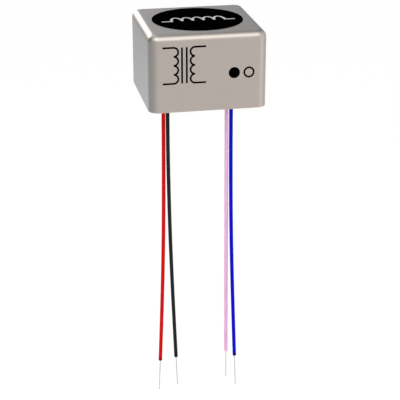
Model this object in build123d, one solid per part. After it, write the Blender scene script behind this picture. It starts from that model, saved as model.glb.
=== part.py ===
from build123d import *
import os
from math import pi, radians, tan

# Audio isolation transformer, potted in a square drawn shield can, with four flying leads.
# Sizes are in millimetres. The origin is the centre of the can's open rim. +Z runs up through
# the closed top, the printed front faces -Y, and the leads hang out of the potting towards -Z.

# Core of square plates, each stamped with a tongue through the middle of its window
tongue_width = 7.0
window_width = 6.5
window_length = 20.0
yoke_width = 5.0
plate_thickness = 0.35
plate_count = 20
tongue_gap = 0.3

# Moulded coil former, with a slot in a flange wherever a wire leaves the coil
core_slip = 0.15
former_wall = 0.7
former_corner_radius = 0.5
flange_thickness = 0.8
flange_corner_radius = 0.8
flange_side_slip = 0.2
flange_end_slip = 0.1
slot_width = 0.9
slot_margin = 0.4

# Windings and the tape between them, each by its build outwards from the former's tube. The
# secondary takes what the others leave of the core's window.
primary_inner_build = 1.2
layer_tape_build = 0.15
primary_outer_build = 1.0
wrap_tape_build = 0.25
coil_clearance = 0.7

# Shield can, deep drawn, and the potting that separates it from what it holds
can_wall = 0.8
side_cover = 3.2
base_cover = 2.8
resin_recess = 1.0
side_edge_radius = 3.1
top_edge_radius = 2.4
rim_edge_radius = 0.15

# Printed disc on the closed top, with a margin of bare metal round it
disc_margin = 1.8
disc_thickness = 0.1

# Pad that keeps the coil off the closed top
pad_thickness = 0.8
pad_overlap = 1.0

# Leads, and the soldered and sleeved splices under the core's outer legs
insulation_diameter = 1.3
conductor_diameter = 0.45
conductor_slip = 0.02
strip_length = 3.0
solder_diameter = 0.8
solder_length = 2.0
sleeve_slip = 0.05
sleeve_wall = 0.25
sleeve_lap = 1.8
sleeve_overhang = 0.8
sleeve_reach = 3.5
sleeve_clearance = 1.25
bend_step = 3.6
bend_share = 0.45
red_bare_length = 12.4
black_bare_length = 11.5
pink_bare_length = 11.2
blue_bare_length = 12.2

# Winding ends, where they leave their layers, and the link between the primary's two halves
tail_diameter = 0.3
tail_offset = 3.2
tail_run = 1.6
link_reach = 2.1

# Core, former and coil, as they follow from those sizes
core_width = tongue_width + 2 * window_width + 2 * yoke_width
core_length = window_length + 2 * yoke_width
stack_height = plate_count * plate_thickness
tube_opening_width = tongue_width + 2 * core_slip
tube_opening_height = stack_height + 2 * core_slip
tube_width = tube_opening_width + 2 * former_wall
tube_height = tube_opening_height + 2 * former_wall
flange_rise = window_width - flange_side_slip
flange_width = tongue_width + 2 * flange_rise
flange_height = stack_height + 2 * flange_rise
former_length = window_length - 2 * flange_end_slip
winding_length = former_length - 2 * flange_thickness

wound_build = window_width - core_slip - former_wall - coil_clearance
wrap_start = wound_build - wrap_tape_build
primary_outer_start = wrap_start - primary_outer_build
outer_tape_start = primary_outer_start - layer_tape_build
inner_tape_start = primary_inner_build
secondary_start = inner_tape_start + layer_tape_build
secondary_build = outer_tape_start - secondary_start

primary_inner_middle = primary_inner_build / 2
secondary_middle = secondary_start + secondary_build / 2
primary_outer_middle = primary_outer_start + primary_outer_build / 2

# The can is as large as its contents and their potting: 38 x 38 mm and 25 mm high
can_width = core_width + 2 * (side_cover + can_wall)
can_length = core_length + 2 * (side_cover + can_wall)
can_height = resin_recess + base_cover + flange_height + pad_thickness + can_wall
can_ceiling = can_height - can_wall
coil_centre_z = can_ceiling - pad_thickness - flange_height / 2
disc_diameter = min(can_width, can_length) - 2 * (top_edge_radius + disc_margin)

# Splices lie along Y under the middle of an outer leg, and end just past the coil
sleeve_bore_radius = insulation_diameter / 2 + sleeve_slip
sleeve_radius = sleeve_bore_radius + sleeve_wall
sleeve_length = sleeve_lap + strip_length + solder_length / 2 + sleeve_overhang
sleeve_end_y = former_length / 2 + sleeve_reach
splice_x = tongue_width / 2 + window_width + yoke_width / 2
splice_y = sleeve_end_y - sleeve_overhang - solder_length / 2
splice_z = coil_centre_z - stack_height / 2 - sleeve_clearance - sleeve_radius
lead_start_y = splice_y - strip_length
tail_turn_y = sleeve_end_y + tail_run

# Each lead: its side of the can, the flange that its winding end leaves by, the middle of the
# layer that this end belongs to, its free route below the rim, and the bare length past that.
# A pair's two leads run to splices at opposite ends of the coil.
leads = [
    dict(
        colour="red",
        side=-1,
        end=1,
        layer_middle=primary_inner_middle,
        free=[(-11.5, 0, -6), (-11.6, 0.1, -25), (-11.85, 0.45, -50), (-12.5, 1.0, -76), (-13.4, 1.7, -100.6)],
        bare_length=red_bare_length,
    ),
    dict(
        colour="black",
        side=-1,
        end=-1,
        layer_middle=primary_outer_middle,
        free=[(-10.1, 0, -6), (-10.1, -0.1, -25), (-9.75, -0.5, -50), (-9.0, -1.0, -76), (-8.2, -1.6, -97.9)],
        bare_length=black_bare_length,
    ),
    dict(
        colour="pink",
        side=1,
        end=-1,
        layer_middle=secondary_middle,
        free=[(9.95, 0, -6), (10.1, 0.15, -25), (10.3, 0.6, -50), (10.6, 1.4, -76), (11.0, 2.4, -99.8)],
        bare_length=pink_bare_length,
    ),
    dict(
        colour="blue",
        side=1,
        end=1,
        layer_middle=secondary_middle,
        free=[(11.5, 0, -6), (11.55, -0.15, -25), (11.8, -0.55, -50), (12.45, -1.2, -76), (13.2, -2.0, -99.4)],
        bare_length=blue_bare_length,
    ),
]


def can_form(width, length, height, side_radius, top_radius):
    """A block that stands on z = 0, with its upright edges rounded and then its top edge."""
    block = Box(width, length, height, align=(Align.CENTER, Align.CENTER, Align.MIN))
    block = fillet(block.edges().filter_by(Axis.Z), side_radius)
    return fillet(block.edges().group_by(Axis.Z)[-1], top_radius)


def along_y(section, length):
    """A section drawn in XZ about the coil's axis, made into a block of this length about y = 0."""
    block = extrude(Plane.XZ * section, length / 2, both=True)
    return Pos(0, 0, coil_centre_z) * block


def grown_tube(build, length):
    """The outside of the former's tube, grown outwards by the build of what is wound on it."""
    section = RectangleRounded(
        tube_width + 2 * build,
        tube_height + 2 * build,
        former_corner_radius + build,
    )
    return along_y(section, length)


def wound_layer(start, build):
    """A winding or a tape as one closed band from flange to flange."""
    return grown_tube(start + build, winding_length) - grown_tube(start, winding_length)


def layer_z(middle):
    """The height at which the middle of a layer passes under the tube."""
    return coil_centre_z - tube_height / 2 - middle


def core_plate(gap_end):
    """One stamped plate: a square frame, and a tongue that stops short of one yoke."""
    plate = Rectangle(core_width, core_length)
    plate -= Rectangle(tongue_width + 2 * window_width, window_length)
    tongue = Rectangle(tongue_width, window_length - tongue_gap)
    plate += Pos(0, -gap_end * tongue_gap / 2) * tongue
    return extrude(plate, plate_thickness)


def core_plates(first, gap_end):
    """Every second plate of the stack, because the gaps lie at its two ends in turn."""
    stack_bottom = coil_centre_z - stack_height / 2
    heights = [stack_bottom + n * plate_thickness for n in range(first, plate_count, 2)]
    return Compound([Pos(0, 0, z) * core_plate(gap_end) for z in heights])


def flange_plate(end, slots):
    """A flange before the core's opening, with slots up from its lower edge as (x, layer middle)."""
    plate = along_y(RectangleRounded(flange_width, flange_height, flange_corner_radius), flange_thickness)
    for x, middle in slots:
        slot_bottom = coil_centre_z - flange_height / 2
        slot_height = layer_z(middle) + slot_margin - slot_bottom
        slot = Box(slot_width, flange_thickness, slot_height, align=(Align.CENTER, Align.CENTER, Align.MIN))
        plate -= Pos(x, 0, slot_bottom) * slot
    return Pos(0, end * (former_length - flange_thickness) / 2, 0) * plate


def corner_radii(points):
    """The bend radius at each inner point, as large as its two straight runs allow."""
    radii = []
    for before, here, after in zip(points, points[1:], points[2:]):
        shorter = min((here - before).length, (after - here).length)
        half_turn = radians((here - before).get_angle(after - here)) / 2
        radii.append(bend_share * shorter / tan(half_turn))
    return radii


def wire_path(points, radii):
    """Straight runs joined by tangent arcs."""
    return FilletPolyline(points, radius=radii)


def round_wire(path, diameter):
    """A round solid along a path."""
    section = Plane(origin=path @ 0, z_dir=path % 0) * Circle(diameter / 2)
    return sweep(section, path=path)


def bent_wire(points):
    """A winding's own wire, bent as gently as its short runs allow."""
    return round_wire(wire_path(points, corner_radii(points)), tail_diameter)


def splice_cylinder(lead, radius, middle_y, length):
    """A cylinder on the axis of a lead's splice."""
    cylinder = Rot(90, 0, 0) * Cylinder(radius, length)
    return Pos(lead["side"] * splice_x, lead["end"] * middle_y, splice_z) * cylinder


def save(name, shape):
    """Write one piece to its own file."""
    export_step(shape, f"parts/{name}.step")


os.makedirs("parts", exist_ok=True)

# Can: the same wall all round, open below, with the rim's outer edge just broken
outside = can_form(can_width, can_length, can_height, side_edge_radius, top_edge_radius)
outside = fillet(outside.edges().group_by(Axis.Z)[0], rim_edge_radius)
inside = can_form(
    can_width - 2 * can_wall,
    can_length - 2 * can_wall,
    can_ceiling,
    side_edge_radius - can_wall,
    top_edge_radius - can_wall,
)
save("shield_can", outside - inside)

disc = Cylinder(disc_diameter / 2, disc_thickness, align=(Align.CENTER, Align.CENTER, Align.MIN))
save("top_disc_label", Pos(0, 0, can_height) * disc)

# Core: the plates are threaded into the former from both ends in turn
save("core_plates_gap_front", core_plates(0, -1))
save("core_plates_gap_rear", core_plates(1, 1))

# Coil former: a square tube between two flanges, with a slot for each wire
wire_slots = [(lead["end"], lead["side"] * tail_offset, lead["layer_middle"]) for lead in leads]
wire_slots.append((-1, 0, primary_inner_middle))
flanges = [
    flange_plate(end, [(x, middle) for slot_end, x, middle in wire_slots if slot_end == end])
    for end in (-1, 1)
]
opening = along_y(Rectangle(tube_opening_width, tube_opening_height), former_length)
save("coil_former", grown_tube(0, former_length) + flanges - opening)

# Windings and tapes, from the tube outwards
save("primary_inner_winding", wound_layer(0, primary_inner_build))
save("inner_layer_tape", wound_layer(inner_tape_start, layer_tape_build))
save("secondary_winding", wound_layer(secondary_start, secondary_build))
save("outer_layer_tape", wound_layer(outer_tape_start, layer_tape_build))
save("primary_outer_winding", wound_layer(primary_outer_start, primary_outer_build))
save("coil_wrap_tape", wound_layer(wrap_start, wrap_tape_build))

pad = Box(flange_width + 2 * pad_overlap, former_length + 2 * pad_overlap, pad_thickness)
pad = Pos(0, 0, can_ceiling - pad_thickness / 2) * pad
save("top_pad", pad)

# Primary link: out below the front flange from the inner half, and back in at the outer half
winding_end_y = winding_length / 2
link_y = former_length / 2 + link_reach
link_inner_z = layer_z(primary_inner_middle)
link_outer_z = layer_z(primary_outer_middle)
link = bent_wire(
    [
        Vector(0, -winding_end_y, link_inner_z),
        Vector(0, -link_y, link_inner_z),
        Vector(0, -link_y, link_outer_z),
        Vector(0, -winding_end_y, link_outer_z),
    ]
)
save("primary_link_wire", link)

# Leads, each with its conductor, the winding's own end, the solder between them and a sleeve
buried = [link]
solder_joints = []
for lead in leads:
    colour = lead["colour"]
    x = lead["side"] * splice_x
    end = lead["end"]
    free = [Vector(*point) for point in lead["free"]]
    cut = Vector(x, end * lead_start_y, splice_z)
    turn = Vector(x, end * bend_step, splice_z)
    drop = Vector(free[0].X, free[0].Y, splice_z - bend_step)
    route = [cut, turn, drop] + free
    radii = corner_radii(route)
    path = wire_path(route, radii)
    insulation = round_wire(path, insulation_diameter)

    joint = Vector(x, end * splice_y, splice_z)
    tip = free[-1] + (free[-1] - free[-2]).normalized() * lead["bare_length"]
    core_path = wire_path([joint] + route[1:-1] + [tip], radii)
    conductor = round_wire(core_path, conductor_diameter)
    bore = round_wire(core_path, conductor_diameter + 2 * conductor_slip)
    save(f"lead_{colour}_insulation", insulation - bore)
    save(f"lead_{colour}_conductor", conductor)
    straight = pi / 4 * insulation_diameter**2 * path.length
    print(colour, "length", round(path.length, 2), "volume ratio", round(insulation.volume / straight, 5))
    print(colour, "radii", [round(radius, 1) for radius in radii])

    tail_x = lead["side"] * tail_offset
    tail_z = layer_z(lead["layer_middle"])
    tail = bent_wire(
        [
            Vector(tail_x, end * winding_end_y, tail_z),
            Vector(tail_x, end * tail_turn_y, tail_z),
            Vector(x, end * tail_turn_y, splice_z),
            joint,
        ]
    )
    save(f"winding_tail_{colour}", tail)

    bead = splice_cylinder(lead, solder_diameter / 2, splice_y, solder_length)
    solder_joints.append(bead - conductor - tail)

    sleeve_middle_y = sleeve_end_y - sleeve_length / 2
    sleeve = splice_cylinder(lead, sleeve_radius, sleeve_middle_y, sleeve_length)
    sleeve_bore = splice_cylinder(lead, sleeve_bore_radius, sleeve_middle_y, sleeve_length)
    save(f"splice_sleeve_{colour}", sleeve - sleeve_bore)

    buried += [insulation, sleeve, tail]
save("solder_joints", Compound(solder_joints))

# Potting: it fills the can to its surface and lies against every piece that it buries, but it
# doesn't creep into the working clearances between the coil and the core.
core_block = Box(core_width, core_length, stack_height)
resin = inside - Box(can_width, can_length, 2 * resin_recess) - Pos(0, 0, coil_centre_z) * core_block
resin -= flanges + [grown_tube(wound_build, winding_length), pad] + buried
save("potting_resin", resin)
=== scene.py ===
from math import acos, asin, cos, degrees, hypot, pi, radians, sin, tau

import bmesh
import bpy
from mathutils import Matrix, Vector


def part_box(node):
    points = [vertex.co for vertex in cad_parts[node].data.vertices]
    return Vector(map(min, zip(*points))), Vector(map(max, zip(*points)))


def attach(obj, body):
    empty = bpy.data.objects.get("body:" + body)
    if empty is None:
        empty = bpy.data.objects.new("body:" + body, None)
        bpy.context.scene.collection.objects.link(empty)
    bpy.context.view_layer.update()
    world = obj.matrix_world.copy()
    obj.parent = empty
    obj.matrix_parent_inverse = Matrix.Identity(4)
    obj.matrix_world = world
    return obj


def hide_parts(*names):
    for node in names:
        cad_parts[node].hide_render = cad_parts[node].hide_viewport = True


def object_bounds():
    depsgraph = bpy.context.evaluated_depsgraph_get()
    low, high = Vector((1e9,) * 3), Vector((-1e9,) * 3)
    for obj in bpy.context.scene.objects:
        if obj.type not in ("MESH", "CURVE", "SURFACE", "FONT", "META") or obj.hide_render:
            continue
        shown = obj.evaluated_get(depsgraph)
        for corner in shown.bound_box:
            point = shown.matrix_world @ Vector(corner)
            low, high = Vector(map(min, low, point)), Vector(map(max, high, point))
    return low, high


# Audio isolation transformer: a potted coil in a square drawn shield can, with four flying leads.
# Lengths are given in millimetres, and MM turns them into metres. Angles are in degrees where they
# are written as numbers. The frame is the part's own: the can's open rim lies at z = 0, the printed
# front faces -Y and the leads hang towards -Z.
MM = 0.001

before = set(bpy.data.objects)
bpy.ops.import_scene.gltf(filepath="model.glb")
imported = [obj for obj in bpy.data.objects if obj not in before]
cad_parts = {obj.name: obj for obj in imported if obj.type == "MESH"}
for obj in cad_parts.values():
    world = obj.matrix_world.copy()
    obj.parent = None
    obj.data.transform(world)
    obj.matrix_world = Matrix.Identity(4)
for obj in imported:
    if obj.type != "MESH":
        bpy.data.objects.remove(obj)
cad_low, cad_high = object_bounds()
scene = bpy.context.scene

# Camera
camera_place = (-74.95, -384.67, 123.28)
camera_direction = (0.17882, 0.90694, -0.38143)
camera_lens = 111.06
camera_sensor = 36.0
camera_sees_from = 10.0
camera_sees_to = 10000.0

# Leads: the same routes as the part's own, each from its splice in the can to the insulation's end.
# side and end say on which side of the coil, and at which end of it, the splice lies. free is the
# route below the rim, and length is that of the insulation.
insulation_diameter = 1.3
bore_diameter = 0.49
splice_x = 12.5
splice_y = 11.6
splice_z = 7.9
lead_start_y = 8.6
bend_step = 3.6
leads = {
    "red": dict(
        side=-1,
        end=1,
        free=[
            (-11.5, 0, -6),
            (-11.6, 0.1, -25),
            (-11.85, 0.45, -50),
            (-12.5, 1.0, -76),
            (-13.4, 1.7, -100.6),
        ],
        bare_length=12.4,
        length=114.6,
    ),
    "black": dict(
        side=-1,
        end=-1,
        free=[
            (-10.1, 0, -6),
            (-10.1, -0.1, -25),
            (-9.75, -0.5, -50),
            (-9.0, -1.0, -76),
            (-8.2, -1.6, -97.9),
        ],
        bare_length=11.5,
        length=112.2,
    ),
    "pink": dict(
        side=1,
        end=-1,
        free=[
            (9.95, 0, -6),
            (10.1, 0.15, -25),
            (10.3, 0.6, -50),
            (10.6, 1.4, -76),
            (11.0, 2.4, -99.8),
        ],
        bare_length=11.2,
        length=114.2,
    ),
    "blue": dict(
        side=1,
        end=1,
        free=[
            (11.5, 0, -6),
            (11.55, -0.15, -25),
            (11.8, -0.55, -50),
            (12.45, -1.2, -76),
            (13.2, -2.0, -99.4),
        ],
        bare_length=12.2,
        length=113.4,
    ),
}
cord_steps = 32
cord_bevel = 6

# Tinned conductor: six strands laid round a middle one, which is drawn thicker by the tin that has
# run between them. The strands end at a few different places.
strand_diameter = 0.15
strand_sides = 8
outer_strands = 6
strand_lay = 4.5
strand_stagger = 0.05
strand_ends = 3
tin_diameter = 0.29
tin_step_back = 0.08
line_steps = 80

# Cut end of the insulation: a thin skin over its last stretch, with the rounded edge of the cut.
# Its colour fades to a painted shade at the end, at this much of its brightness (pink's is a little
# paler).
cut_reach = 1.6
cut_proud = 0.006
cut_round = 0.12
cut_round_steps = 5
painted_shade_fade_start = 0.25
end_painted_shades = {"red": 0.34, "black": 0.5, "pink": 1.08, "blue": 0.2}

# Printing: black on the front face, light grey on the disc
print_thickness = 0.012
front_stroke = 0.6
disc_stroke = 0.85

# Potting's surface: it creeps up the can's wall and along each lead, and has a faint slanting wave
wall_creep = 0.72
wall_creep_width = 1.5
lead_creep = 0.95
lead_creep_width = 1.2
creep_power = 2.2
surface_lift = 0.03
surface_wave = 0.02
wave_length = 9.0
wave_slant = 3
can_inner_corner = 2.3
wall_bite = 0.05
fine_step = 0.15
coarse_step = 0.8

# Edges that turn more than this stay sharp, on the leads and on the resin
lead_edge = 50
resin_edge = 60

# Stage: a pale floor far below the part, lifted to white where the camera sees it, and the world's
# soft light on the part
floor_z = -550.0
floor_radius = 4000.0
floor_sides = 64
floor_grey = 0.85
floor_lift = 0.375
soft_light_level = 0.72

# Vertices closer together than this become one
merge_distance = 1e-5

# Noise textures mostly stay between these two levels
noise_low = 0.3
noise_high = 0.7

# Spacing in metres of the ridges of a band texture whose scale is 1
ridge_spacing = pi / 10


# Node helpers


def add_node(tree, kind, settings=None, **inputs):
    """A new node with these settings. An input is linked if it is given a socket, and set if not."""
    made = tree.nodes.new(kind)
    for name, value in (settings or {}).items():
        setattr(made, name, value)
    for name, value in inputs.items():
        socket = made.inputs[name.replace("_", " ")]
        if isinstance(value, bpy.types.NodeSocket):
            tree.links.new(value, socket)
        else:
            socket.default_value = value
    return made


def part_place(tree):
    """The place of a point in the part's own frame, in metres."""
    return add_node(tree, "ShaderNodeTexCoord").outputs["Object"]


def noise(tree, size, stretch=(1, 1, 1), detail=2.0):
    """Noise in the part's own frame. size is its grain in millimetres, and stretch lengthens it."""
    scale = [1 / length for length in stretch]
    mapped = add_node(tree, "ShaderNodeMapping", Vector=part_place(tree), Scale=scale)
    made = add_node(
        tree,
        "ShaderNodeTexNoise",
        Vector=mapped.outputs["Vector"],
        Scale=1 / (size * MM),
        Detail=detail,
    )
    return made.outputs["Fac"]


def stripes(tree, axis, pitch, distortion=0.0):
    """Ridges across an axis of the part's frame, one for each pitch in millimetres."""
    made = add_node(
        tree,
        "ShaderNodeTexWave",
        dict(wave_type="BANDS", bands_direction=axis, wave_profile="SIN"),
        Vector=part_place(tree),
        Scale=ridge_spacing / (pitch * MM),
        Distortion=distortion,
    )
    return made.outputs["Fac"]


def map_range(tree, value, low, high, to_low=0.0, to_high=1.0):
    """A number that runs between two others as the value goes from low to high."""
    made = add_node(tree, "ShaderNodeMapRange", Value=value, From_Min=low, From_Max=high)
    made.inputs["To Min"].default_value = to_low
    made.inputs["To Max"].default_value = to_high
    return made.outputs["Result"]


def spread(tree, factor, low, high):
    """A number that runs from low to high as the noise goes through its usual range."""
    return map_range(tree, factor, noise_low, noise_high, low, high)


def ramp(tree, factor, low_colour, high_colour, start=noise_low, end=noise_high):
    """A colour that runs from one to the other as the factor goes from start to end."""
    made = add_node(tree, "ShaderNodeValToRGB", Fac=factor)
    low, high = made.color_ramp.elements
    low.position, low.color = start, (*low_colour, 1)
    high.position, high.color = end, (*high_colour, 1)
    return made.outputs["Color"]


def bump(tree, height, depth, below=None):
    """A bump of this depth in millimetres, laid over another one."""
    made = add_node(tree, "ShaderNodeBump", Height=height, Distance=depth * MM)
    if below is not None:
        tree.links.new(below, made.inputs["Normal"])
    return made.outputs["Normal"]


def pits(tree, spacing, radius, share):
    """A level of 1 that drops to 0 in round pits, in this share of cells about this far apart."""
    cells = add_node(
        tree,
        "ShaderNodeTexVoronoi",
        Vector=part_place(tree),
        Scale=1 / (spacing * MM),
    )
    rise = add_node(tree, "ShaderNodeMapRange", dict(interpolation_type="SMOOTHSTEP"))
    tree.links.new(cells.outputs["Distance"], rise.inputs["Value"])
    rise.inputs["From Max"].default_value = radius / spacing
    bare = add_node(tree, "ShaderNodeMath", dict(operation="GREATER_THAN"))
    tree.links.new(cells.outputs["Color"], bare.inputs[0])
    bare.inputs[1].default_value = share
    level = add_node(tree, "ShaderNodeMath", dict(operation="MAXIMUM"))
    tree.links.new(rise.outputs["Result"], level.inputs[0])
    tree.links.new(bare.outputs["Value"], level.inputs[1])
    return level.outputs["Value"]


def start_material(name, **values):
    """A new material, its node tree and its shader, whose plain numbers are set on its own sockets."""
    made = bpy.data.materials.new(name)
    made.use_nodes = True
    shader = made.node_tree.nodes["Principled BSDF"]
    for socket, value in values.items():
        shader.inputs[socket.replace("_", " ")].default_value = value
    return made, made.node_tree, shader


def dress(tree, shader, colour, roughness, normal):
    """Link a surface's colour, roughness and bump to its shader."""
    tree.links.new(colour, shader.inputs["Base Color"])
    tree.links.new(roughness, shader.inputs["Roughness"])
    tree.links.new(normal, shader.inputs["Normal"])


def shade(colour, factor):
    """A colour made darker or lighter."""
    return tuple(min(1.0, channel * factor) for channel in colour)


# Materials. Noise sizes and bump depths are in millimetres, and colours are linear


def satin_can():
    """Annealed nickel-iron: a fine matt grain, a soft mottle and faint draw marks up the walls."""
    made, tree, shader = start_material("satin_nickel_iron", Metallic=1.0)
    mottle = noise(tree, size=3.0)
    draw_marks = noise(tree, size=0.35, stretch=(1, 1, 40))
    grain = noise(tree, size=0.09, detail=3.0)
    metal = (0.463, 0.396, 0.361)
    colour = ramp(tree, mottle, shade(metal, 0.985), shade(metal, 1.015))
    roughness = spread(tree, draw_marks, low=0.30, high=0.34)
    normal = bump(tree, grain, depth=0.0008, below=bump(tree, draw_marks, depth=0.0004))
    dress(tree, shader, colour, roughness, normal)
    return made


def printed(name, ink):
    """Screen-printed ink: a flat film with a faint weave and thinner and thicker places."""
    made, tree, shader = start_material(name, Specular_IOR_Level=0.0)
    film = noise(tree, size=1.2)
    weave = noise(tree, size=0.08)
    colour = ramp(tree, film, shade(ink, 0.9), shade(ink, 1.1))
    roughness = spread(tree, film, low=0.55, high=0.65)
    dress(tree, shader, colour, roughness, bump(tree, weave, depth=0.001))
    return made


def potting():
    """Poured resin: black and glossy, in slow waves, with fine dust and a few burst bubbles."""
    made, tree, shader = start_material("poured_resin", Specular_IOR_Level=0.4)
    waves = noise(tree, size=7.0)
    dust = noise(tree, size=0.25, detail=4.0)
    bubbles = pits(tree, spacing=2.4, radius=0.42, share=0.42)
    colour = ramp(tree, waves, (0.010, 0.010, 0.0115), (0.019, 0.019, 0.021))
    roughness = spread(tree, dust, low=0.12, high=0.24)
    normal = bump(tree, waves, depth=0.16, below=bump(tree, dust, depth=0.0015))
    normal = bump(tree, bubbles, depth=0.14, below=normal)
    dress(tree, shader, colour, roughness, normal)
    return made


def extruded(name):
    """Extruded plastic: smooth along its length, with the faint lines that the die leaves."""
    made, tree, shader = start_material(name, Specular_IOR_Level=0.06)
    lines = noise(tree, size=0.16, stretch=(1, 1, 60))
    tree.links.new(spread(tree, lines, low=0.42, high=0.52), shader.inputs["Roughness"])
    tree.links.new(bump(tree, lines, depth=0.0012), shader.inputs["Normal"])
    return made, tree, shader


def insulation(name, plastic):
    """A lead's insulation: extruded, with a soft blush along it."""
    made, tree, shader = extruded(name)
    blush = noise(tree, size=5.0)
    colour = ramp(tree, blush, shade(plastic, 0.94), shade(plastic, 1.04))
    tree.links.new(colour, shader.inputs["Base Color"])
    return made


def insulation_with_painted_end_shade(name, plastic, painted_shade_colour, end_z):
    """The same plastic next to its cut end, where its colour fades to a painted shade (pink's is a
    little paler).
    """
    made, tree, shader = extruded(name)
    height = add_node(tree, "ShaderNodeSeparateXYZ", Vector=part_place(tree)).outputs["Z"]
    from_end = map_range(tree, height, end_z * MM, (end_z + cut_reach) * MM)
    colour = ramp(tree, from_end, painted_shade_colour, plastic, start=painted_shade_fade_start, end=1.0)
    tree.links.new(colour, shader.inputs["Base Color"])
    return made


def tinned():
    """Tin over copper: pale and bright, with small dull patches where the dip ran."""
    made, tree, shader = start_material("tinned_copper", Metallic=1.0)
    runs = noise(tree, size=0.5, stretch=(1, 1, 3))
    colour = ramp(tree, runs, (0.55, 0.55, 0.54), (0.70, 0.70, 0.69))
    roughness = spread(tree, runs, low=0.24, high=0.42)
    dress(tree, shader, colour, roughness, bump(tree, runs, depth=0.01))
    return made


def core_plate_metal():
    """Rolled nickel-iron sheet after its anneal: grey, with rolling lines along the plate."""
    made, tree, shader = start_material("rolled_nickel_iron", Metallic=1.0)
    rolling = noise(tree, size=0.12, stretch=(1, 50, 1))
    bloom = noise(tree, size=4.0)
    colour = ramp(tree, bloom, (0.36, 0.355, 0.35), (0.50, 0.49, 0.47))
    roughness = spread(tree, rolling, low=0.38, high=0.52)
    dress(tree, shader, colour, roughness, bump(tree, rolling, depth=0.003))
    return made


def moulded_former():
    """Moulded nylon: off-white, slightly cloudy, with a fine spark-eroded skin."""
    made, tree, shader = start_material("moulded_nylon", Specular_IOR_Level=0.45)
    cloud = noise(tree, size=2.5)
    skin = noise(tree, size=0.06)
    colour = ramp(tree, cloud, (0.72, 0.69, 0.60), (0.78, 0.76, 0.68))
    roughness = spread(tree, skin, low=0.42, high=0.56)
    dress(tree, shader, colour, roughness, bump(tree, skin, depth=0.004))
    return made


def enamelled_winding():
    """Fine enamelled copper: one ridge for each turn round the coil, and uneven varnish."""
    made, tree, shader = start_material("enamelled_copper", Metallic=0.85, Coat_Weight=0.6)
    turns = stripes(tree, "Y", pitch=0.13, distortion=0.4)
    varnish = noise(tree, size=1.5)
    colour = ramp(tree, varnish, (0.42, 0.13, 0.045), (0.62, 0.24, 0.09))
    roughness = spread(tree, varnish, low=0.24, high=0.36)
    dress(tree, shader, colour, roughness, bump(tree, turns, depth=0.05))
    return made


def polyester_tape(name, film):
    """Polyester tape: a glossy film with long wrinkles and cloudy glue behind it."""
    made, tree, shader = start_material(name, Specular_IOR_Level=0.6)
    wrinkles = noise(tree, size=1.1, stretch=(1, 5, 1))
    glue = noise(tree, size=2.2)
    colour = ramp(tree, glue, shade(film, 0.82), shade(film, 1.05))
    roughness = spread(tree, glue, low=0.14, high=0.26)
    dress(tree, shader, colour, roughness, bump(tree, wrinkles, depth=0.05))
    return made


def pressed_board():
    """Pressed board: fine fibres one way and a soft tone the other, dry and matt."""
    made, tree, shader = start_material("pressed_board", Specular_IOR_Level=0.2)
    fibres = noise(tree, size=0.12, stretch=(12, 1, 1), detail=4.0)
    tone = noise(tree, size=0.5, stretch=(1, 6, 1))
    colour = ramp(tree, tone, (0.40, 0.29, 0.17), (0.52, 0.39, 0.24))
    roughness = spread(tree, fibres, low=0.75, high=0.9)
    dress(tree, shader, colour, roughness, bump(tree, fibres, depth=0.02))
    return made


def shrunk_sleeve():
    """Heat-shrunk sleeving: black, matt, drawn tight in fine rings."""
    made, tree, shader = start_material("shrunk_sleeve", Specular_IOR_Level=0.35)
    rings = noise(tree, size=0.35, stretch=(4, 1, 4))
    bloom = noise(tree, size=1.5)
    colour = ramp(tree, bloom, (0.012, 0.012, 0.012), (0.028, 0.028, 0.03))
    roughness = spread(tree, rings, low=0.45, high=0.6)
    dress(tree, shader, colour, roughness, bump(tree, rings, depth=0.02))
    return made


lead_colours = {
    "red": (0.72, 0.003, 0.003),
    "black": (0.016, 0.016, 0.0165),
    "pink": (0.98, 0.515, 0.79),
    "blue": (0.0015, 0.0015, 0.60),
}
lead_materials = {}
painted_end_shade_materials = {}
for colour_name, plastic_colour in lead_colours.items():
    lead_materials[colour_name] = insulation(f"lead_{colour_name}_plastic", plastic_colour)
    # Each lead's cut end gets a material that holds a painted shade towards the end
    painted_end_shade_materials[colour_name] = insulation_with_painted_end_shade(
        f"lead_{colour_name}_cut",
        plastic_colour,
        shade(plastic_colour, end_painted_shades[colour_name]),
        end_z=leads[colour_name]["free"][-1][2],
    )

black_ink = printed("black_ink", ink=(0.0006, 0.0006, 0.0006))
grey_ink = printed("light_grey_ink", ink=(0.56, 0.57, 0.57))
resin = potting()
tin = tinned()
plate_metal = core_plate_metal()
copper = enamelled_winding()
amber_tape = polyester_tape("amber_tape", film=(0.70, 0.34, 0.05))
yellow_tape = polyester_tape("yellow_tape", film=(0.80, 0.58, 0.08))
sleeving = shrunk_sleeve()

node_materials = {
    "shield_can": satin_can(),
    "top_disc_label": black_ink,
    "potting_resin": resin,
    "top_pad": pressed_board(),
    "core_plates_gap_front": plate_metal,
    "core_plates_gap_rear": plate_metal,
    "coil_former": moulded_former(),
    "primary_inner_winding": copper,
    "inner_layer_tape": amber_tape,
    "secondary_winding": copper,
    "outer_layer_tape": amber_tape,
    "primary_outer_winding": copper,
    "coil_wrap_tape": yellow_tape,
    "primary_link_wire": copper,
    "solder_joints": tin,
}
for colour_name in leads:
    node_materials[f"lead_{colour_name}_insulation"] = lead_materials[colour_name]
    node_materials[f"lead_{colour_name}_conductor"] = tin
    node_materials[f"winding_tail_{colour_name}"] = copper
    node_materials[f"splice_sleeve_{colour_name}"] = sleeving

for node_name, node_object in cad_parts.items():
    node_object.data.materials.clear()
    node_object.data.materials.append(node_materials[node_name])


# Mesh helpers


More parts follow.
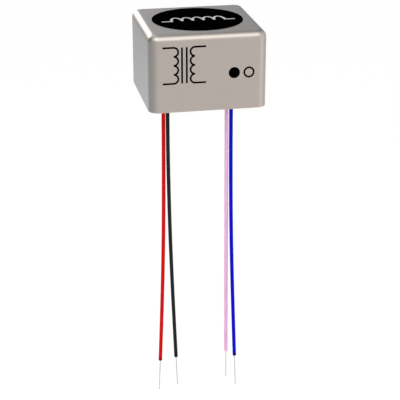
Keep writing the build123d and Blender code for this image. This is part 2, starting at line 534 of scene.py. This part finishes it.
def finish_piece(name, mesh, material):
    """Turn a mesh under construction, drawn in millimetres, into a piece that rides on the part."""
    bmesh.ops.remove_doubles(mesh, verts=mesh.verts, dist=merge_distance)
    bmesh.ops.recalc_face_normals(mesh, faces=mesh.faces)
    bmesh.ops.scale(mesh, vec=(MM, MM, MM), verts=mesh.verts)
    data = bpy.data.meshes.new(name)
    mesh.to_mesh(data)
    mesh.free()
    data.materials.append(material)
    piece = bpy.data.objects.new(name, data)
    scene.collection.objects.link(piece)
    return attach(piece, "root")


def smooth_below(piece, sharpest):
    """Shade a piece smoothly over its gentle bends, and keep the edges that turn more than this."""
    piece.data.shade_smooth()
    piece.data.set_sharp_from_angle(angle=radians(sharpest))


def link_rings(mesh, rings, closed=False):
    """Faces between rings of as many vertices, and a cap on each end if the row isn't closed."""
    vertices = [[mesh.verts.new(point) for point in ring] for ring in rings]
    pairs = list(zip(vertices, vertices[1:]))
    if closed:
        pairs.append((vertices[-1], vertices[0]))
    for here, beyond in pairs:
        for k in range(len(here)):
            following = (k + 1) % len(here)
            mesh.faces.new((here[k], here[following], beyond[following], beyond[k]))
    if not closed:
        mesh.faces.new(vertices[0])
        mesh.faces.new(vertices[-1])


def turned(mesh, profile, centre, axis, sides=32):
    """A ring with this closed profile of (radius, height), turned round an axis through centre."""
    turn = axis.to_track_quat("Z", "Y").to_matrix()
    rings = []
    for k in range(sides):
        angle = tau * k / sides
        outward = Vector((cos(angle), sin(angle), 0))
        ring = []
        for radius, height in profile:
            ring.append(centre + turn @ (outward * radius + Vector((0, 0, height))))
        rings.append(ring)
    link_rings(mesh, rings, closed=True)


def plate(mesh, outline, surface):
    """A thin printed patch with this outline. surface gives the point at (across, up, above)."""
    lower = [surface(u, v, -print_thickness) for u, v in outline]
    upper = [surface(u, v, print_thickness) for u, v in outline]
    link_rings(mesh, [lower, upper])


def on_front(u, v, above):
    """A point on the can's front face."""
    return Vector((u, cad_low.y / MM - above, v))


def on_disc(u, v, above):
    """A point on the printed disc."""
    return Vector((u, v, cad_high.z / MM + above))


def arc(centre, radius, start, end, steps=16, height=None):
    """Points along an arc, between two angles in degrees. With a height it is part of an ellipse."""
    if height is None:
        height = radius
    points = []
    for k in range(steps + 1):
        angle = radians(start + (end - start) * k / steps)
        points.append((centre[0] + radius * cos(angle), centre[1] + height * sin(angle)))
    return points


def bar(start, end, stroke):
    """The outline of a straight stroke along one of the two directions."""
    (u0, v0), (u1, v1) = start, end
    half = stroke / 2
    along_u = abs(u1 - u0) > abs(v1 - v0)
    du, dv = (0, half) if along_u else (half, 0)
    return [(u0 - du, v0 - dv), (u1 - du, v1 - dv), (u1 + du, v1 + dv), (u0 + du, v0 + dv)]


def coil_edges(base, radius, height, count, stroke, first_rise=0.0):
    """The outer and inner edge of a row of arches about u = 0 that bulge towards v, left to right.

    The outer edge starts and ends at first_rise above the base."""
    half = stroke / 2
    foot = degrees(acos(radius / (radius + half)))
    start = degrees(asin(first_rise / (height + half)))
    outer = []
    inner = []
    for n in range(count):
        centre = (radius * (2 * n + 1 - count), base)
        first = 180 - (start if n == 0 else foot)
        last = start if n == count - 1 else foot
        outer += arc(centre, radius + half, first, last, height=height + half)
        inner += arc(centre, radius - half, 180, 0, height=height - half)
    return outer, inner


def winding_symbol(radius, count, reach, stroke):
    """A row of round arches that stands on two legs of this reach."""
    outer, inner = coil_edges(0.0, radius, radius, count, stroke)
    left_leg = [(outer[0][0], -reach), (inner[0][0], -reach)]
    right_leg = [(outer[-1][0], -reach), (inner[-1][0], -reach)]
    return [left_leg[0]] + outer + right_leg + inner[::-1] + [left_leg[1]]


def coil_symbol(base, radius, height, count, half_width, stroke):
    """A row of tall arches with a straight line out of each end."""
    half = stroke / 2
    outer, inner = coil_edges(base, radius, height, count, stroke, first_rise=half)
    left_end = [(-half_width, base - half), (-half_width, base + half)]
    right_end = [(half_width, base + half), (half_width, base - half)]
    left_foot = (inner[0][0], base - half)
    right_foot = (inner[-1][0], base - half)
    return left_end + outer + right_end + [right_foot] + inner[::-1] + [left_foot]


# Printing on the front: the plain symbol of a transformer, and a dot and a ring
symbol_centre = (-7.8, 15.3)
symbol_turns = 4
symbol_radius = 1.45
symbol_core_gap = 1.5
symbol_winding_gap = 3.4
symbol_terminal = 3.5

front_marks = bmesh.new()
symbol_half = symbol_radius * symbol_turns
winding = winding_symbol(symbol_radius, symbol_turns, symbol_terminal, front_stroke)
for mirror in (1, -1):
    outline = []
    for u, v in winding:
        across = symbol_centre[0] + mirror * (v - symbol_winding_gap)
        outline.append((across, symbol_centre[1] + u))
    plate(front_marks, outline, on_front)
    core_u = symbol_centre[0] + mirror * symbol_core_gap / 2
    core_ends = [(core_u, symbol_centre[1] + end * symbol_half) for end in (-1, 1)]
    plate(front_marks, bar(*core_ends, front_stroke), on_front)
finish_piece("front_symbol", front_marks, black_ink)

round_mark_sides = 48
dot_centre = (8.17, 12.05)
dot_radius = 1.82
dot_last_angle = 360 - 360 / round_mark_sides
dot_outline = arc(dot_centre, dot_radius, 0, dot_last_angle, round_mark_sides - 1)
front_dot_mesh = bmesh.new()
plate(front_dot_mesh, dot_outline, on_front)
finish_piece("front_dot", front_dot_mesh, black_ink)

ring_centre = (12.92, 11.98)
ring_outer = 1.82
ring_inner = 1.22
ring_profile = [
    (ring_inner, -print_thickness),
    (ring_outer, -print_thickness),
    (ring_outer, print_thickness),
    (ring_inner, print_thickness),
]
front_ring_mesh = bmesh.new()
ring_place = on_front(*ring_centre, above=0)
turned(front_ring_mesh, ring_profile, ring_place, Vector((0, -1, 0)), sides=round_mark_sides)
finish_piece("front_ring", front_ring_mesh, black_ink)

# Printing on the disc: the plain symbol of a coil
disc_turns = 5
disc_radius = 1.75
disc_height = 4.2
disc_base = -2.1
disc_half_width = 12.0

disc_outline = coil_symbol(
    disc_base,
    disc_radius,
    disc_height,
    disc_turns,
    disc_half_width,
    disc_stroke,
)
disc_marks = bmesh.new()
plate(disc_marks, disc_outline, on_disc)
finish_piece("disc_symbol", disc_marks, grey_ink)


# Leads


def route_curve(name, points, diameter=0.0, steps=cord_steps):
    """One smooth line with the route's points as its control points, round if it has a diameter."""
    data = bpy.data.curves.new(name, "CURVE")
    data.dimensions = "3D"
    spline = data.splines.new("NURBS")
    spline.points.add(len(points) - 1)
    for point, place in zip(spline.points, points):
        point.co = (*(place * MM), 1)
    spline.order_u = 3
    spline.use_endpoint_u = True
    data.resolution_u = steps
    data.bevel_depth = diameter / 2 * MM
    data.bevel_resolution = cord_bevel
    data.use_fill_caps = diameter > 0
    curve = bpy.data.objects.new(name, data)
    scene.collection.objects.link(curve)
    return curve


def line_points(points):
    """The points of the smooth line through a route, in millimetres."""
    guide = route_curve("guide", points, steps=line_steps)
    mesh = bpy.data.meshes.new_from_object(guide)
    line = [vertex.co / MM for vertex in mesh.vertices]
    bpy.data.meshes.remove(mesh)
    bpy.data.curves.remove(guide.data)
    return line


def trimmed(line, cut):
    """A line with this length cut off its end."""
    kept = list(line)
    while (kept[-1] - kept[-2]).length < cut:
        cut -= (kept[-1] - kept[-2]).length
        kept.pop()
    kept[-1] = kept[-1] + (kept[-2] - kept[-1]).normalized() * cut
    return kept


def frames_along(line):
    """At each point, two directions square to the line that don't spin round it."""
    tangents = []
    for k in range(len(line)):
        tangents.append((line[min(k + 1, len(line) - 1)] - line[max(k - 1, 0)]).normalized())
    across = tangents[0].orthogonal().normalized()
    frames = []
    for tangent in tangents:
        across = (across - tangent * across.dot(tangent)).normalized()
        frames.append((across, tangent.cross(across)))
    return frames


def add_strand(mesh, line, frames, diameter, offset=0.0, start_angle=0.0):
    """One round strand, laid round the line at an offset and turned with its length."""
    travelled = 0.0
    centres = []
    for k, (point, (across, beside)) in enumerate(zip(line, frames)):
        if k:
            travelled += (point - line[k - 1]).length
        angle = start_angle + tau * travelled / strand_lay
        centres.append(point + offset * (across * cos(angle) + beside * sin(angle)))
    rings = []
    for centre, (across, beside) in zip(centres, frames_along(centres)):
        ring = []
        for side in range(strand_sides):
            angle = tau * side / strand_sides
            ring.append(centre + diameter / 2 * (across * cos(angle) + beside * sin(angle)))
        rings.append(ring)
    link_rings(mesh, rings)


def lead_route(lead):
    """The points of a lead's insulation, from its splice in the can to its cut end."""
    x = lead["side"] * splice_x
    end = lead["end"]
    free = [Vector(point) for point in lead["free"]]
    start_point = Vector((x, end * lead_start_y, splice_z))
    turn_point = Vector((x, end * bend_step, splice_z))
    drop_point = Vector((free[0].x, free[0].y, splice_z - bend_step))
    return [start_point, turn_point, drop_point] + free


def make_strands(colour_name, lead, route, last_direction):
    """A lead's conductor, from its solder joint through the insulation to its bare end."""
    joint = Vector((lead["side"] * splice_x, lead["end"] * splice_y, splice_z))
    tip = route[-1] + last_direction * lead["bare_length"]
    line = line_points([joint] + route[1:-1] + [tip])
    frames = frames_along(line)
    mesh = bmesh.new()
    add_strand(mesh, trimmed(line, tin_step_back), frames, tin_diameter)
    for n in range(outer_strands):
        strand_line = trimmed(line, strand_stagger * (1 + n % strand_ends))
        add_strand(
            mesh,
            strand_line,
            frames,
            strand_diameter,
            offset=strand_diameter,
            start_angle=tau * n / outer_strands,
        )
    piece = finish_piece(f"lead_{colour_name}_strands", mesh, tin)
    smooth_below(piece, lead_edge)
    return piece


def make_cut_end(colour_name, cut_place, last_direction):
    """The skin and rounded edge at the end of a lead's insulation."""
    outer = insulation_diameter / 2 + cut_proud
    bore = bore_diameter / 2
    profile = [(outer - cut_round, -cut_reach), (outer, -cut_reach)]
    profile += arc((outer - cut_round, 0), cut_round, 0, 90, cut_round_steps)
    profile += [(bore + cut_round / 2, cut_round), (bore, cut_round / 2), (bore, -cut_round)]
    mesh = bmesh.new()
    turned(mesh, profile, cut_place, last_direction)
    name = f"lead_{colour_name}_cut_end"
    # The skin wears the material with the painted shade at the lead's end
    piece = finish_piece(name, mesh, painted_end_shade_materials[colour_name])
    smooth_below(piece, lead_edge)
    return piece


resin_low, resin_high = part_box("potting_resin")
resin_z = resin_low.z / MM
for colour_name, lead in leads.items():
    route = lead_route(lead)
    last_direction = (route[-1] - route[-2]).normalized()
    cord = route_curve(f"lead_{colour_name}", route, insulation_diameter)
    cord.data.materials.append(lead_materials[colour_name])
    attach(cord, "root")
    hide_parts(f"lead_{colour_name}_insulation")

    strands = make_strands(colour_name, lead, route, last_direction)
    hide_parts(f"lead_{colour_name}_conductor")
    cut_end = make_cut_end(colour_name, route[-1], last_direction)


# Potting's surface, over the whole of the resin that shows
can_inner_half = resin_high.x / MM
lead_feet = [Vector(lead["free"][0][:2]) for lead in leads.values()]


def creep(distance, width, height):
    """How far the resin has risen at this distance from a wall or a lead that it wets."""
    share = min(1.0, max(0.0, distance) / width)
    return height * (1 - share) ** creep_power


def wall_distance(x, y):
    """How far a point lies inside the can's wall, with its rounded corners."""
    straight = can_inner_half - can_inner_corner
    past_x, past_y = abs(x) - straight, abs(y) - straight
    outside = hypot(max(past_x, 0), max(past_y, 0)) + min(max(past_x, past_y), 0)
    return can_inner_corner - outside


def pulled_in(x, y):
    """The point, moved to just behind the wall's face if it lies further out in a corner."""
    overshoot = -wall_bite - wall_distance(x, y)
    if overshoot <= 0:
        return x, y
    straight = can_inner_half - can_inner_corner
    centre = Vector((max(-straight, min(straight, x)), max(-straight, min(straight, y))))
    place = centre + (Vector((x, y)) - centre).normalized() * (can_inner_corner + wall_bite)
    return place.x, place.y


def surface_drop(x, y):
    """How far the resin's surface hangs below its level, towards the can's open side."""
    rises = [creep(wall_distance(x, y), wall_creep_width, wall_creep)]
    for foot in lead_feet:
        distance = (Vector((x, y)) - foot).length - insulation_diameter / 2
        rises.append(creep(distance, lead_creep_width, lead_creep))
    wave = sin(tau * x / wave_length) * cos(tau * (y + x / wave_slant) / wave_length)
    return surface_lift + surface_wave * wave + hypot(*rises)


def grid_places(fine_stretches):
    """Places from wall to wall, closer together within the fine stretches."""
    edge = can_inner_half + wall_bite
    walls = [(-edge, wall_creep_width - edge), (edge - wall_creep_width, edge)]
    places = [-edge]
    while places[-1] < edge:
        here = places[-1]
        step = coarse_step
        for low, high in walls + fine_stretches:
            if low <= here < high:
                step = fine_step
            elif here < low:
                step = min(step, low - here)
        places.append(min(edge, here + step))
    return places


lead_reach = insulation_diameter / 2 + lead_creep_width
left_feet = [foot.x for foot in lead_feet if foot.x < 0]
right_feet = [foot.x for foot in lead_feet if foot.x > 0]
feet_stretches = []
for feet in (left_feet, right_feet):
    feet_stretches.append((min(feet) - lead_reach, max(feet) + lead_reach))
surface_mesh = bmesh.new()
surface_rows = []
for y in grid_places([(-lead_reach, lead_reach)]):
    row = []
    for x in grid_places(feet_stretches):
        place = pulled_in(x, y)
        row.append(surface_mesh.verts.new((*place, resin_z - surface_drop(*place))))
    surface_rows.append(row)
for here, beyond in zip(surface_rows, surface_rows[1:]):
    for k in range(len(here) - 1):
        surface_mesh.faces.new((here[k], here[k + 1], beyond[k + 1], beyond[k]))
rim = surface_rows[0] + [row[-1] for row in surface_rows[1:-1]]
rim += surface_rows[-1][::-1] + [row[0] for row in surface_rows[-2:0:-1]]
buried_rim = [surface_mesh.verts.new((vert.co.x, vert.co.y, resin_z + wall_bite)) for vert in rim]
for k in range(len(rim)):
    following = (k + 1) % len(rim)
    surface_mesh.faces.new((rim[k], rim[following], buried_rim[following], buried_rim[k]))
surface_mesh.faces.new(buried_rim)
resin_surface = finish_piece("resin_surface", surface_mesh, resin)
smooth_below(resin_surface, resin_edge)


# World and floor


def white_where_seen(tree, white_shader, lit_shader):
    """White for rays from the camera, from gloss and through glass, and another shader for the rest."""
    path = add_node(tree, "ShaderNodeLightPath").outputs
    seen = path["Is Camera Ray"]
    for kind in ("Is Glossy Ray", "Is Transmission Ray"):
        either = add_node(tree, "ShaderNodeMath", dict(operation="MAXIMUM"))
        tree.links.new(seen, either.inputs[0])
        tree.links.new(path[kind], either.inputs[1])
        seen = either.outputs[0]
    mix = add_node(tree, "ShaderNodeMixShader", Fac=seen)
    tree.links.new(lit_shader, mix.inputs[1])
    tree.links.new(white_shader, mix.inputs[2])
    return mix.outputs[0]


world = bpy.data.worlds.new("studio")
world.use_nodes = True
scene.world = world
world_tree = world.node_tree
world_tree.nodes.clear()
soft_light = add_node(
    world_tree,
    "ShaderNodeBackground",
    Color=(1, 1, 1, 1),
    Strength=soft_light_level,
)
white = add_node(world_tree, "ShaderNodeBackground", Color=(1, 1, 1, 1), Strength=1.0)
world_out = add_node(world_tree, "ShaderNodeOutputWorld")
world_mix = white_where_seen(world_tree, white.outputs[0], soft_light.outputs[0])
world_tree.links.new(world_mix, world_out.inputs["Surface"])

floor_mesh = bmesh.new()
bmesh.ops.create_circle(floor_mesh, cap_ends=True, segments=floor_sides, radius=floor_radius * MM)
bmesh.ops.translate(floor_mesh, verts=floor_mesh.verts, vec=(0, 0, floor_z * MM))
floor_data = bpy.data.meshes.new("floor")
floor_mesh.to_mesh(floor_data)
floor_mesh.free()
floor = bpy.data.objects.new("floor", floor_data)
scene.collection.objects.link(floor)

floor_material = bpy.data.materials.new("pale_floor")
floor_material.use_nodes = True
floor_tree = floor_material.node_tree
floor_tree.nodes.clear()
floor_colour = (floor_grey, floor_grey, floor_grey, 1)
floor_paint = add_node(floor_tree, "ShaderNodeBsdfDiffuse", Color=floor_colour)
floor_glow = add_node(floor_tree, "ShaderNodeEmission", Color=(1, 1, 1, 1), Strength=floor_lift)
floor_sum = add_node(floor_tree, "ShaderNodeAddShader")
floor_tree.links.new(floor_paint.outputs[0], floor_sum.inputs[0])
floor_tree.links.new(floor_glow.outputs[0], floor_sum.inputs[1])
floor_mix = white_where_seen(floor_tree, floor_sum.outputs[0], floor_paint.outputs[0])
floor_out = add_node(floor_tree, "ShaderNodeOutputMaterial")
floor_tree.links.new(floor_mix, floor_out.inputs["Surface"])
floor_data.materials.append(floor_material)


# Lamps and cards round the can
can_middle = (0, 0, 12)
leads_middle = (0, 0, -50)

# Cards that overlap stand at different distances
far_card = 1300
near_card = 1150
card_steps = 12
even = (1, 1)
cream = (0.95, 1.09, 1.07)
neutral = (1.0, 1.0, 1.0)
cool = (0.96, 1.05, 1.10)


def towards(azimuth, elevation, distance):
    """A place round the can. Azimuth 0 is in front of it and 90 is on its right."""
    a, e = radians(azimuth), radians(elevation)
    return Vector((sin(a) * cos(e), -cos(a) * cos(e), sin(e))) * distance + Vector(can_middle)


def panel_light(name, place, aim, width, height, radiance, colour):
    """A soft rectangular lamp, by how bright its face looks. Lengths are in millimetres."""
    data = bpy.data.lights.new(name, "AREA")
    data.shape = "RECTANGLE"
    data.size = width * MM
    data.size_y = height * MM
    data.energy = radiance * pi * data.size * data.size_y
    data.color = colour
    lamp = bpy.data.objects.new(name, data)
    lamp.location = Vector(place) * MM
    lamp.rotation_mode = "QUATERNION"
    lamp.rotation_quaternion = (Vector(aim) - Vector(place)).to_track_quat("-Z", "Y")
    lamp.visible_camera = False
    scene.collection.objects.link(lamp)
    return lamp


def along(levels, share):
    """The level at a share of the way along a list of levels."""
    place = share * (len(levels) - 1)
    first = min(int(place), len(levels) - 2)
    return levels[first] + (levels[first + 1] - levels[first]) * (place - first)


def glowing(name, tint):
    """The material of a card, which glows at the level that its mesh holds at each point."""
    made = bpy.data.materials.new(name)
    made.use_nodes = True
    tree = made.node_tree
    tree.nodes.clear()
    level = add_node(tree, "ShaderNodeAttribute", dict(attribute_name="level")).outputs["Fac"]
    glow = add_node(tree, "ShaderNodeEmission", Color=(*tint, 1), Strength=level)
    out = add_node(tree, "ShaderNodeOutputMaterial")
    tree.links.new(glow.outputs[0], out.inputs["Surface"])
    return made


def studio_card(name, azimuths, elevations, across_levels, up_levels, tint, distance):
    """A curved card round the can that only reflections see. Its brightness runs through levels."""
    mesh = bmesh.new()
    rows = []
    levels = []
    for j in range(card_steps + 1):
        row = []
        for i in range(card_steps + 1):
            across, up = i / card_steps, j / card_steps
            place = towards(along(azimuths, across), along(elevations, up), distance)
            row.append(mesh.verts.new(place * MM))
            levels.append(along(across_levels, across) * along(up_levels, up))
        rows.append(row)
    for low, high in zip(rows, rows[1:]):
        for i in range(card_steps):
            mesh.faces.new((low[i], low[i + 1], high[i + 1], high[i]))
    data = bpy.data.meshes.new(name)
    mesh.to_mesh(data)
    mesh.free()
    data.attributes.new("level", "FLOAT", "POINT").data.foreach_set("value", levels)
    data.materials.append(glowing(name, tint))
    card = bpy.data.objects.new(name, data)
    card.visible_camera = False
    card.visible_diffuse = False
    card.visible_transmission = False
    card.visible_shadow = False
    scene.collection.objects.link(card)


panel_light(
    "key_panel",
    place=towards(azimuth=7, elevation=48.6, distance=760),
    aim=can_middle,
    width=585,
    height=600,
    radiance=1.13,
    colour=cream,
)
panel_light(
    "rim_panel",
    place=towards(azimuth=-169, elevation=12.2, distance=940),
    aim=can_middle,
    width=310,
    height=230,
    radiance=3.2,
    colour=neutral,
)
front_panel = panel_light(
    "front_panel",
    place=towards(azimuth=-9, elevation=12, distance=960),
    aim=leads_middle,
    width=600,
    height=520,
    radiance=2.0,
    colour=neutral,
)
front_panel.visible_glossy = False

studio_card(
    "left_card",
    azimuths=(-144, 8),
    elevations=(-55, 25),
    across_levels=(0.57, 0.57, 0.55, 0.74, 1.0),
    up_levels=even,
    tint=cool,
    distance=far_card,
)
studio_card(
    "left_high_card",
    azimuths=(-136, -86),
    elevations=(0, 85),
    across_levels=(0.5, 0.3, 0.6),
    up_levels=(0.5, 0.8, 1.3, 1.9),
    tint=cool,
    distance=near_card,
)
studio_card(
    "rim_side_card",
    azimuths=(-153, -137),
    elevations=(9, 46),
    across_levels=(3.4, 3.2, 2.0),
    up_levels=even,
    tint=neutral,
    distance=near_card,
)
studio_card(
    "key_side_card",
    azimuths=(-86, -8),
    elevations=(28, 76),
    across_levels=(1.0, 1.7, 2.0),
    up_levels=(0.75, 1.05, 1.05),
    tint=cream,
    distance=near_card,
)
studio_card(
    "rear_low_card",
    azimuths=(-205, -150),
    elevations=(-45, -3),
    across_levels=even,
    up_levels=(0.78, 1.02, 0.30),
    tint=cool,
    distance=far_card,
)
studio_card(
    "rear_high_card",
    azimuths=(95, 215),
    elevations=(0, 89),
    across_levels=(0.30, 0.30, 0.31, 0.80, 1.0),
    up_levels=(0.96, 1.05, 1.31, 1.5),
    tint=cool,
    distance=far_card,
)
studio_card(
    "right_card",
    azimuths=(32, 78),
    elevations=(-45, 24),
    across_levels=(1.1, 1.28, 1.2),
    up_levels=even,
    tint=cool,
    distance=far_card,
)
studio_card(
    "right_side_card",
    azimuths=(84, 136),
    elevations=(-2, 42),
    across_levels=(1.1, 0.75),
    up_levels=even,
    tint=neutral,
    distance=near_card,
)
studio_card(
    "right_rear_card",
    azimuths=(94, 152),
    elevations=(-50, -2),
    across_levels=(0.88, 0.75),
    up_levels=even,
    tint=neutral,
    distance=far_card,
)


# Camera, at the photograph's viewing angle
camera_data = bpy.data.cameras.new("camera")
camera_data.sensor_width = camera_sensor
camera_data.lens = camera_lens
camera_data.clip_start = camera_sees_from * MM
camera_data.clip_end = camera_sees_to * MM
camera = bpy.data.objects.new("camera", camera_data)
camera.location = Vector(camera_place) * MM
camera.rotation_mode = "QUATERNION"
camera.rotation_quaternion = Vector(camera_direction).to_track_quat("-Z", "Y")
scene.collection.objects.link(camera)
bpy.context.scene.camera = camera

scene.view_settings.view_transform = "Standard"

bpy.context.view_layer.update()
